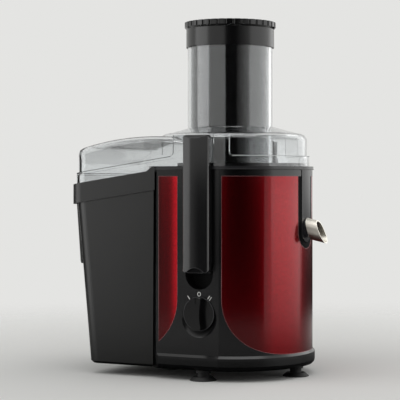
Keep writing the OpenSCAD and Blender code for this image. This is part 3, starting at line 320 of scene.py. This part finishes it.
nickel = metal("satin_nickel_plate", "#e4e0d6", 0.36, 0.5, (1, 12, 12), 0.1)
stainless = metal("brushed_stainless_steel", "#b9babd", 0.26, 0.6, (1, 1, 12), 0.12)
zinc = metal("zinc_plated_steel", "#b4b7bb", 0.35, 0.8, (1, 1, 1), 0.1)
ground = metal("ground_steel", "#c0c2c4", 0.18, 0.4, (1, 1, 14), 0.08)
lamination = metal("stacked_steel_laminations", "#6f7276", 0.42, 0.5, (0.1, 0.1, 6), 0.4)
cast_alloy = metal("die_cast_aluminium", "#a9abae", 0.45, 1.0, (1, 1, 1), 0.3)
copper_wire = metal("enamelled_copper_wire", "#a4552a", 0.32, 0.8, (1, 1, 5), 0.6)
copper = metal("turned_copper", "#b8693f", 0.28, 0.5, (1, 1, 10), 0.15)
brass = metal("pressed_brass", "#b59450", 0.3, 0.8, (1, 1, 1), 0.1)
# The pale pink edge metal is a painted highlight along the red panels' outlines.
panel_edge_highlight = metal("painted_highlight_lacquered_edge", "#9a6a6c", 0.22)
print("metals made")

# %% [markdown]
# The basket's wall is stainless sheet etched with thousands of holes about half a millimetre
# across. Modelled one by one they would swamp the file, so the material cuts them: a cell pattern
# 1.6 mm apart, drawn coarser than life so that it shows, makes the sheet see-through in each hole.

# %% Etched mesh
HOLE_PITCH = 1.6 * MM
etched_mesh = start(
    "etched_stainless_mesh", Base_Color=linear("#b4b6b9"), Metallic=1.0, Roughness=0.3
)
cells = {"Vector": place_on(etched_mesh), "Scale": 1 / HOLE_PITCH, "Randomness": 0.15}
from_hole = add_node(etched_mesh, "TexVoronoi", cells).outputs["Distance"]
feed(etched_mesh, Alpha=maths(etched_mesh, "GREATER_THAN", from_hole, 0.3))
print("mesh made")

# %% [markdown]
# Each CAD node now takes its finish. The table lists nodes by finish. Those of the motor, the
# basket and the other hidden pieces are what such parts usually have.

# %% Hand out the finishes
FINISHES = {
    gloss_abs: ["base_plate", "speed_knob"],
    bowl_abs: ["juice_bowl"],
    shell_abs: ["upper_housing"],
    housing_abs: ["lower_housing"],
    latch_abs: ["latch_front", "latch_back"],
    satin_abs: ["pulp_container"],
    cap_abs: ["pusher_cap"],
    dark_nylon: ["basket_base", "cooling_fan", "speed_switch", "safety_switch"],
    acetal: ["drive_coupling"],
    rubber: ["foot_spout", "foot_knob", "foot_bin", "foot_back", "cord_inlet", "motor_mounts"],
    silicone: ["shaft_seal"],
    red_lacquer: ["panel_spout"],
    strip_lacquer: ["panel_knob_side", "panel_back_side"],
    clear_pc: ["lid"],
    smoked_san: ["pusher_body"],
    nickel: ["spout_sleeve"],
    stainless: ["basket_rim", "basket_ribs", "grater_disc"],
    zinc: ["base_screws", "motor_bolts", "grater_nut"],
    ground: ["motor_shaft", "top_bearing", "bottom_bearing", "latch_pin_front", "latch_pin_back"],
    lamination: ["stator", "armature"],
    cast_alloy: ["motor_top_bracket", "motor_bottom_bracket"],
    copper_wire: ["field_coils", "armature_winding"],
    copper: ["commutator"],
    brass: ["brush_holders"],
    etched_mesh: ["filter_mesh"],
}
finished = set()
for finish, names in FINISHES.items():
    for name in names:
        mesh = nodes[name].data
        mesh.materials.clear()
        mesh.materials.append(finish)
        finished.add(name)
print("finished", len(finished), "nodes; left over:", sorted(set(nodes) - finished))

# %% [markdown]
# ## Softened edges
# No moulded edge is truly sharp: the steel mould leaves a radius of about half a millimetre, and
# that radius is what catches the light along every rim. The bevel only cuts into the solid, so no
# piece grows.

# %% Softened edges
EDGE_RADIUS_MM = {
    "lid": 0.5,
    "latch_front": 0.6,
    "latch_back": 0.6,
    "pulp_container": 0.6,
    "juice_bowl": 0.4,
    "lower_housing": 0.4,
    "upper_housing": 0.3,
    "base_plate": 0.5,
    "speed_knob": 0.5,
    "pusher_cap": 0.3,
}
for name, radius_mm in EDGE_RADIUS_MM.items():
    bevel = nodes[name].modifiers.new("edge_radius", "BEVEL")
    bevel.width = radius_mm * MM
    bevel.segments = 2
    bevel.limit_method = "ANGLE"
    bevel.angle_limit = math.radians(40)
    bevel.harden_normals = True
print("edges softened on", len(EDGE_RADIUS_MM), "nodes")

# %% [markdown]
# ## Fine edge lines
# Some edges are too fine for the solids and still show in the light as thin lines: round a panel,
# along the rim of the lid, at the lip of a latch. Most are painted highlights and one is painted
# shade: beads lighter or darker than the part beside them. `sharp_lines` finds such an edge on the
# CAD mesh itself, as a run of sharp edges, so that it follows the outline exactly. `bead_along` lays
# a thin round bead along it, which rides on the same body as the piece.

# %% Edge line helpers
SHARP = math.radians(60)
ON_FACE = 0.3 * MM
ON_LINE = 0.1 * MM
WELD = 0.005 * MM


def add_piece(name, mesh_data, material, body):
    piece = bpy.data.objects.new(name, mesh_data)
    bpy.context.collection.objects.link(piece)
    mesh_data.materials.append(material)
    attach(piece, body)
    return piece


def joined_up(near):
    """Lines of points through a table of points and their neighbours, open ends first."""
    lines = []
    while near:
        here = min(near, key=lambda point: (len(near[point]), point))
        line = [here]
        while near[here]:
            following = min(near[here])
            near[here].remove(following)
            near[following].remove(here)
            here = following
            line.append(here)
        lines.append(line)
        near = {point: others for point, others in near.items() if others}
    return lines


def sharp_lines(name, wanted, least=SHARP):
    """Sharp edges of a node whose two ends pass the test, joined up into lines of points."""
    shape = bmesh.new()
    shape.from_mesh(nodes[name].data)
    bmesh.ops.remove_doubles(shape, verts=shape.verts, dist=WELD)
    near = {}
    for edge in shape.edges:
        sharp = len(edge.link_faces) == 2 and edge.calc_face_angle() > least
        if sharp and all(wanted(v.co) for v in edge.verts):
            a, b = (tuple(v.co) for v in edge.verts)
            near.setdefault(a, set()).add(b)
            near.setdefault(b, set()).add(a)
    shape.free()
    return joined_up(near)


def bead_along(name, lines, radius, material, body):
    """Thin round bead along lines of points, turned into a mesh."""
    curve = bpy.data.curves.new(name + "_path", "CURVE")
    curve.dimensions = "3D"
    curve.bevel_depth = radius
    curve.bevel_resolution = 1
    for points in lines:
        spline = curve.splines.new("POLY")
        spline.points.add(len(points) - 1)
        spline.points.foreach_set("co", [value for point in points for value in (*point, 1.0)])
    path = bpy.data.objects.new(name + "_path", curve)
    data = bpy.data.meshes.new_from_object(path)
    bpy.data.objects.remove(path)
    data.name = name
    data.materials.clear()
    data.polygons.foreach_set("use_smooth", [True] * len(data.polygons))
    add_piece(name, data, material, body)
    print(name, "lines:", [len(points) for points in lines])


def height_of(name, chosen, pick=max):
    """Highest, or lowest, point among the chosen points of a node."""
    return pick(v.co.z for v in nodes[name].data.vertices if chosen(v.co))


print("edge line helpers ready")

# %% [markdown]
# The outline of each red panel shows as a thin bright line, on the outside of the body. A thin bead
# of pale pink metal, lighter than the lacquer, paints that highlight along the edge.

# %% Painted highlight beads round the red panels
PANEL_HIGHLIGHT_BEAD = 0.22 * MM


def on_outer_face(point):
    """True on the outside of the body: its flat sides, or its round end."""
    round_end = point.x > 0 and math.hypot(point.x, point.y) > body_r - ON_FACE
    return round_end or abs(point.y) > body_side - ON_FACE


for side in ("spout", "knob_side", "back_side"):
    lines = sharp_lines("panel_" + side, on_outer_face)
    bead_along("edge_bead_" + side, lines, PANEL_HIGHLIGHT_BEAD, panel_edge_highlight, "housing")

# %% [markdown]
# The top of the lid's skirt shows as a bright line, painted as a highlight with a pale, nearly
# opaque bead. The one round the chute cover shows dark, painted as shade with a dark grey bead. It
# rises towards the tube at the same angle as the container's rim.

# %% Rims of the lid
LID_RIM = 0.4 * MM
COVER_RIM = 0.25 * MM
COVER_END = -20 * MM
RIM_SLOPE = math.tan(math.radians(8.4))
# A pale bead paints the highlight on the skirt's top, and a dark grey one the shade round the cover.
lid_rim_highlight = start(
    "painted_highlight_polycarbonate",
    Base_Color=linear("#dfe2e3"),
    Roughness=0.12,
    IOR=1.58,
    Alpha=0.8,
)
shaded_rim = start(
    "shaded_edge_of_polycarbonate",
    Base_Color=linear("#3c3e40"),
    Roughness=0.2,
    IOR=1.58,
    Alpha=0.6,
)
lid_low, lid_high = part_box("lid")
skirt_top = height_of("lid", lambda point: point.x > lid_high.x - ON_LINE)
cover_top = height_of("lid", lambda point: point.x < lid_low.x + ON_FACE)


def on_skirt_top(point):
    outermost = math.hypot(point.x, point.y) > lid_high.x - ON_FACE
    return outermost and abs(point.z - skirt_top) < ON_LINE


def on_cover_skirt(point):
    ledge_z = cover_top + RIM_SLOPE * (point.x - lid_low.x)
    return abs(point.z - ledge_z) < ON_FACE and point.x < COVER_END


lines = sharp_lines("lid", on_skirt_top)
bead_along("lid_skirt_rim", lines, LID_RIM, lid_rim_highlight, "housing")
lines = sharp_lines("lid", on_cover_skirt)
bead_along("cover_skirt_rim", lines, COVER_RIM, shaded_rim, "housing")

# %% [markdown]
# The knob's front edge and the lips of the latches' thumb scoops catch the light. A grey bead,
# lighter than the black plastic, paints that highlight along each. A lip's bead is set inwards by
# its own radius, so that it stays within the latch's box. The scoop meets the latch's face at a
# shallow angle, so its edge counts as sharp sooner.

# %% Painted highlights on the edges of the knob and the latches
KNOB_BEAD = 0.22 * MM
LIP = 0.35 * MM
LIP_HIGH = 9 * MM
LIP_SHARP = math.radians(25)
# The grey of these beads is a painted highlight, lighter than the black plastic they run along.
edge_highlight_abs = moulded("painted_highlight_edge_of_moulded_abs", "#4c4c4e", 0.25, 1.0, 0.03)
knob_low, knob_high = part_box("speed_knob")
knob_z = (knob_low.z + knob_high.z) / 2
knob_r = (knob_high.x - knob_low.x) / 2


def on_knob_edge(point):
    at_rim = math.hypot(point.x, point.z - knob_z) > knob_r - 0.2 * MM
    return at_rim and point.y < -body_side + 1 * MM


lines = sharp_lines("speed_knob", on_knob_edge)
bead_along("knob_edge", lines, KNOB_BEAD, edge_highlight_abs, "knob")

for side, inwards in (("front", 1), ("back", -1)):
    latch_low, latch_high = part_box("latch_" + side)
    latch_middle = abs(latch_low.y + latch_high.y) / 2

    def on_thumb_lip(point):
        return point.z < latch_low.z + LIP_HIGH and abs(point.y) > latch_middle

    edges = sharp_lines("latch_" + side, on_thumb_lip, LIP_SHARP)
    lines = [[(x, y + inwards * LIP, z) for x, y, z in line] for line in edges]
    bead_along("thumb_lip_" + side, lines, LIP, edge_highlight_abs, side + "_latch")

# %% [markdown]
# The lower edge of the juice bowl's flange gets a small round foot, which draws a thin line over
# the housing below it.

# %% Foot of the bowl's flange
FLANGE_FOOT = 0.4 * MM
bowl_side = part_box("juice_bowl")[1].y
flange_low = height_of("juice_bowl", lambda point: abs(point.y) > bowl_side - ON_LINE, min)


def on_flange_foot(point):
    outside = math.hypot(point.x, point.y) > body_r or abs(point.y) > bowl_side - ON_FACE
    return outside and abs(point.z - flange_low) < ON_LINE


lines = sharp_lines("juice_bowl", on_flange_foot)
bead_along("flange_foot", lines, FLANGE_FOOT, gloss_abs, "housing")

# %% [markdown]
# ## Printed dial marks
# I, 0 and II are pad-printed in white ink round the knob: a film a few hundredths of a
# millimetre thick. Each stroke is a thin flat solid that stands 0.05 mm off the column, so that it
# casts no visible shadow and never fights the wall for the same spot.

# %% Dial marks
INK = 0.05 * MM
INK_FILM = INK * 0.8
MARK_R = knob_r + 3.0 * MM
MARK_TURN = 36
LINE = 0.65 * MM
STROKE = 4.4 * MM
ZERO_SIZE = (2.0 * MM, 2.4 * MM)
white_ink = moulded("white_pad_printed_ink", "#f2f2ef", 0.45, 0.3, 0.1)


def oval(half_w, half_h, count=40):
    turns = [2 * math.pi * i / count for i in range(count)]
    return [(half_w * math.cos(turn), half_h * math.sin(turn)) for turn in turns]


def turned(across, out, degrees):
    """Point on the column, out from the knob's axis and then turned about it."""
    turn = math.radians(degrees)
    x = across * math.cos(turn) + out * math.sin(turn)
    z = out * math.cos(turn) - across * math.sin(turn)
    return x, -body_side - INK, knob_z + z


def mark_mesh(name, strokes, ring):
    """Strokes (turn, across) and one oval ring (half width, half height) round the knob."""
    shape = bmesh.new()

    def corner(across, up, degrees):
        return shape.verts.new(turned(across, MARK_R + up, degrees))

    half_w, half_h = LINE / 2, STROKE / 2
    corners = [(-half_w, -half_h), (half_w, -half_h), (half_w, half_h), (-half_w, half_h)]
    for degrees, across in strokes:
        shape.faces.new([corner(across + a, b, degrees) for a, b in corners])
    wide, tall = ring
    outer = [corner(a, b, 0) for a, b in oval(wide, tall)]
    inner = [corner(a, b, 0) for a, b in oval(wide - LINE, tall - LINE)]
    for i in range(len(outer)):
        j = (i + 1) % len(outer)
        shape.faces.new([outer[i], outer[j], inner[j], inner[i]])
    thick = bmesh.ops.extrude_face_region(shape, geom=list(shape.faces))
    moved = [v for v in thick["geom"] if isinstance(v, bmesh.types.BMVert)]
    bmesh.ops.translate(shape, verts=moved, vec=(0, INK_FILM, 0))
    bmesh.ops.recalc_face_normals(shape, faces=shape.faces)
    data = bpy.data.meshes.new(name)
    shape.to_mesh(data)
    shape.free()
    return data


strokes = [(-MARK_TURN, 0), (MARK_TURN, -1.2 * MM), (MARK_TURN, 1.2 * MM)]
add_piece("dial_marks", mark_mesh("dial_marks", strokes, ZERO_SIZE), white_ink, "housing")
print("dial marks stand", round(MARK_R / MM, 1), "mm from the knob's axis")

# %% [markdown]
# ## The studio
# The camera stands low and to the knob's right, about a metre and a half away, with a long lens
# that keeps upright edges parallel.

# %% Camera
VIEW_TURN = math.radians(25.5)
EYE_DISTANCE = 1.58
EYE_HEIGHT = 0.209
camera_data = bpy.data.cameras.new("camera")
camera_data.sensor_width = 36
camera_data.lens = 130.5
camera_data.shift_x = -0.08375
camera_data.shift_y = -0.05
camera = bpy.data.objects.new("camera", camera_data)
eye_x, eye_y = EYE_DISTANCE * math.sin(VIEW_TURN), -EYE_DISTANCE * math.cos(VIEW_TURN)
camera.location = (eye_x, eye_y, EYE_HEIGHT)
camera.rotation_euler = (math.pi / 2, 0, VIEW_TURN)
bpy.context.collection.objects.link(camera)
bpy.context.scene.camera = camera
print("camera stands", EYE_DISTANCE, "m away")

# %% [markdown]
# Four soft lamps light the juicer: a tall one on each side, a low-powered one that draws the rim
# from behind on the right, and one overhead. All but the last are dimmer towards their lower edge,
# and the right one again higher up, which lets the highlights on the round panel and the tube fade
# out instead of ending in a line. The places, powers and levels were found by trial for this one
# camera; they are no record of a real set-up.

# %% Lamps
LAMP_AIM = Vector((0, 0, 0.19))


def soft_lamp(name, azimuth, height, distance, size, watts, levels=((0, 1),)):
    """Rectangular lamp at a bearing; levels are pairs of height share and brightness."""
    light = bpy.data.lights.new(name, "AREA")
    light.use_nodes = True
    where = add_node(light, "NewGeometry").outputs["Parametric"]
    up = add_node(light, "SeparateXYZ", {"Vector": where}).outputs["Y"]
    glow = add_node(light, "ValToRGB", {"Fac": up})
    stops = glow.color_ramp.elements
    stops.remove(stops[1])
    for i, (share, level) in enumerate(levels):
        stop = stops[0] if i == 0 else stops.new(share)
        stop.position = share
        stop.color = (level, level, level, 1)
    emission = light.node_tree.nodes["Emission"]
    light.node_tree.links.new(glow.outputs["Color"], emission.inputs["Strength"])
    light.shape = "RECTANGLE"
    light.size, light.size_y = size
    light.energy = watts
    lamp = bpy.data.objects.new(name, light)
    turn = math.radians(azimuth)
    lamp.location = (distance * math.sin(turn), -distance * math.cos(turn), height)
    lamp.rotation_euler = (LAMP_AIM - lamp.location).to_track_quat("-Z", "Y").to_euler()
    lamp.visible_camera = False
    bpy.context.collection.objects.link(lamp)


# name, bearing, height, distance, size, watts, levels
right_levels = ((0.16, 0.1), (0.3, 1.0), (0.345, 0.45))
soft_lamp("right_softbox", 110, 0.6, 1.6, (2.0, 2.2), 20, right_levels)
soft_lamp("left_softbox", -55, 0.6, 1.7, (1.3, 2.2), 12, ((0, 0.5), (0.32, 1.0)))
soft_lamp("rim_softbox", 158, 0.8, 1.6, (0.9, 1.4), 4, ((0, 0.1), (0.15, 1.0)))
soft_lamp("top_softbox", 20, 1.9, 0.5, (1.8, 1.8), 12)
print("lamps set")

# %% [markdown]
# The surround is pale wherever the camera sees it: straight on, in a mirror-like surface or
# through the clear lid. As a light source it stays at half that strength. The floor takes the
# juicer's shadow and thins out into the surround, so that no horizon shows.

# %% Surround and floor
PALE = linear("#e4e4e2")
world = bpy.data.worlds.new("surround")
bpy.context.scene.world = world
world.use_nodes = True
sky = world.node_tree.nodes["Background"]
sky.inputs["Color"].default_value = PALE
sky.inputs["Strength"].default_value = 0.5
ray = add_node(world, "LightPath").outputs
seen = maths(world, "ADD", ray["Is Camera Ray"], ray["Is Transmission Ray"])
seen_or_mirrored = maths(world, "MAXIMUM", seen, ray["Is Glossy Ray"])
pale = add_node(world, "Background", {"Color": PALE, "Strength": 1.0}).outputs["Background"]
either = {0: seen_or_mirrored, 1: sky.outputs["Background"], 2: pale}
shown = add_node(world, "MixShader", either).outputs["Shader"]
world.node_tree.links.new(shown, world.node_tree.nodes["World Output"].inputs["Surface"])

floor_finish = start("matt_pale_floor", Base_Color=PALE, Roughness=0.8)
from_middle = {0: place_on(floor_finish)}
reach = add_node(floor_finish, "VectorMath", from_middle, operation="LENGTH").outputs["Value"]
fade = stretched(floor_finish, reach, 1.0, 0.0, 0.25, 1.0, interpolation_type="SMOOTHSTEP")
feed(floor_finish, Alpha=fade)
floor_shape = bmesh.new()
bmesh.ops.create_grid(floor_shape, x_segments=1, y_segments=1, size=6)
floor_data = bpy.data.meshes.new("floor")
floor_shape.to_mesh(floor_data)
floor_shape.free()
floor_data.materials.append(floor_finish)
floor = bpy.data.objects.new("floor", floor_data)
bpy.context.collection.objects.link(floor)
print("surround and floor set")

# %% [markdown]
# Four upright dark cards stand round the juicer. They give the glossy round surfaces the dark
# stripe between two broad highlights that shows how round they are. They cast no shadow and the
# camera doesn't see them: they show in reflections, and to rays that have passed through clear
# plastic. A card's `cover` says how dense it is at each point, so that a stripe can fade at its
# edge. A fifth card lies on the floor, dense in the middle, keeps the pale floor out of the
# base's reflections and doesn't show through clear plastic. Like the lamps, they were placed by
# trial for this one camera.

# %% Dark cards
CARD_DISTANCE = 2.5
FLOOR_CARD_R = 0.65
FLOOR_CARD_COVER = 1.3
card_finish = start("black_card", Base_Color=linear("#040404"), Roughness=1.0)
feed(card_finish, Alpha=add_node(card_finish, "Attribute", attribute_name="cover").outputs["Fac"])


def hidden_card(name, shape, covers, shows_through):
    """Card that the camera doesn't see; shows_through lets rays through clear plastic find it."""
    data = bpy.data.meshes.new(name)
    shape.to_mesh(data)
    shape.free()
    data.attributes.new("cover", "FLOAT", "POINT").data.foreach_set("value", covers)
    data.materials.append(card_finish)
    card = bpy.data.objects.new(name, data)
    card.visible_camera = False
    card.visible_diffuse = False
    card.visible_shadow = False
    card.visible_transmission = shows_through
    bpy.context.collection.objects.link(card)


def dark_card(name, turn_from, turn_to, low, high, fades=(0, 0), steps=32):
    """Upright card bent round the object, in degrees from the camera, thinning over its fades."""
    shape = bmesh.new()
    covers = []
    edges = []
    first, last = turn_from - fades[0], turn_to + fades[1]
    for i in range(steps + 1):
        turn = first + (last - first) * i / steps
        angle = VIEW_TURN + math.radians(turn)
        x, y = CARD_DISTANCE * math.sin(angle), -CARD_DISTANCE * math.cos(angle)
        edges.append((shape.verts.new((x, y, low)), shape.verts.new((x, y, high))))
        cover = 1.0
        if turn < turn_from:
            cover = (turn - first) / fades[0]
        elif turn > turn_to:
            cover = (last - turn) / fades[1]
        covers += [cover, cover]
    for (a, b), (c, d) in zip(edges, edges[1:]):
        shape.faces.new([a, c, d, b])
    hidden_card(name, shape, covers, True)


# name, from and to in degrees, low and high edge
dark_card("low_card", -45, 44, -0.7, 0.235, fades=(29, 0))
dark_card("left_flag", -150, -104, -0.7, 0.29)
dark_card("right_flag", 110, 190, -0.7, 0.1)
dark_card("centre_card", -13, 16, 0.235, 2.4, fades=(0, 44))

disc = bmesh.new()
bmesh.ops.create_circle(disc, cap_ends=True, cap_tris=True, radius=FLOOR_CARD_R, segments=64)
covers = [0.0 if v.co.length > FLOOR_CARD_R / 2 else FLOOR_CARD_COVER for v in disc.verts]
bmesh.ops.translate(disc, verts=disc.verts, vec=(0, 0, 0.2 * MM))
hidden_card("floor_card", disc, covers, False)
print("cards set")

# %% [markdown]
# The view transform is set to plain sRGB, so that no film curve shifts the colours.

# %% Set the view transform
bpy.context.scene.view_settings.view_transform = "Standard"
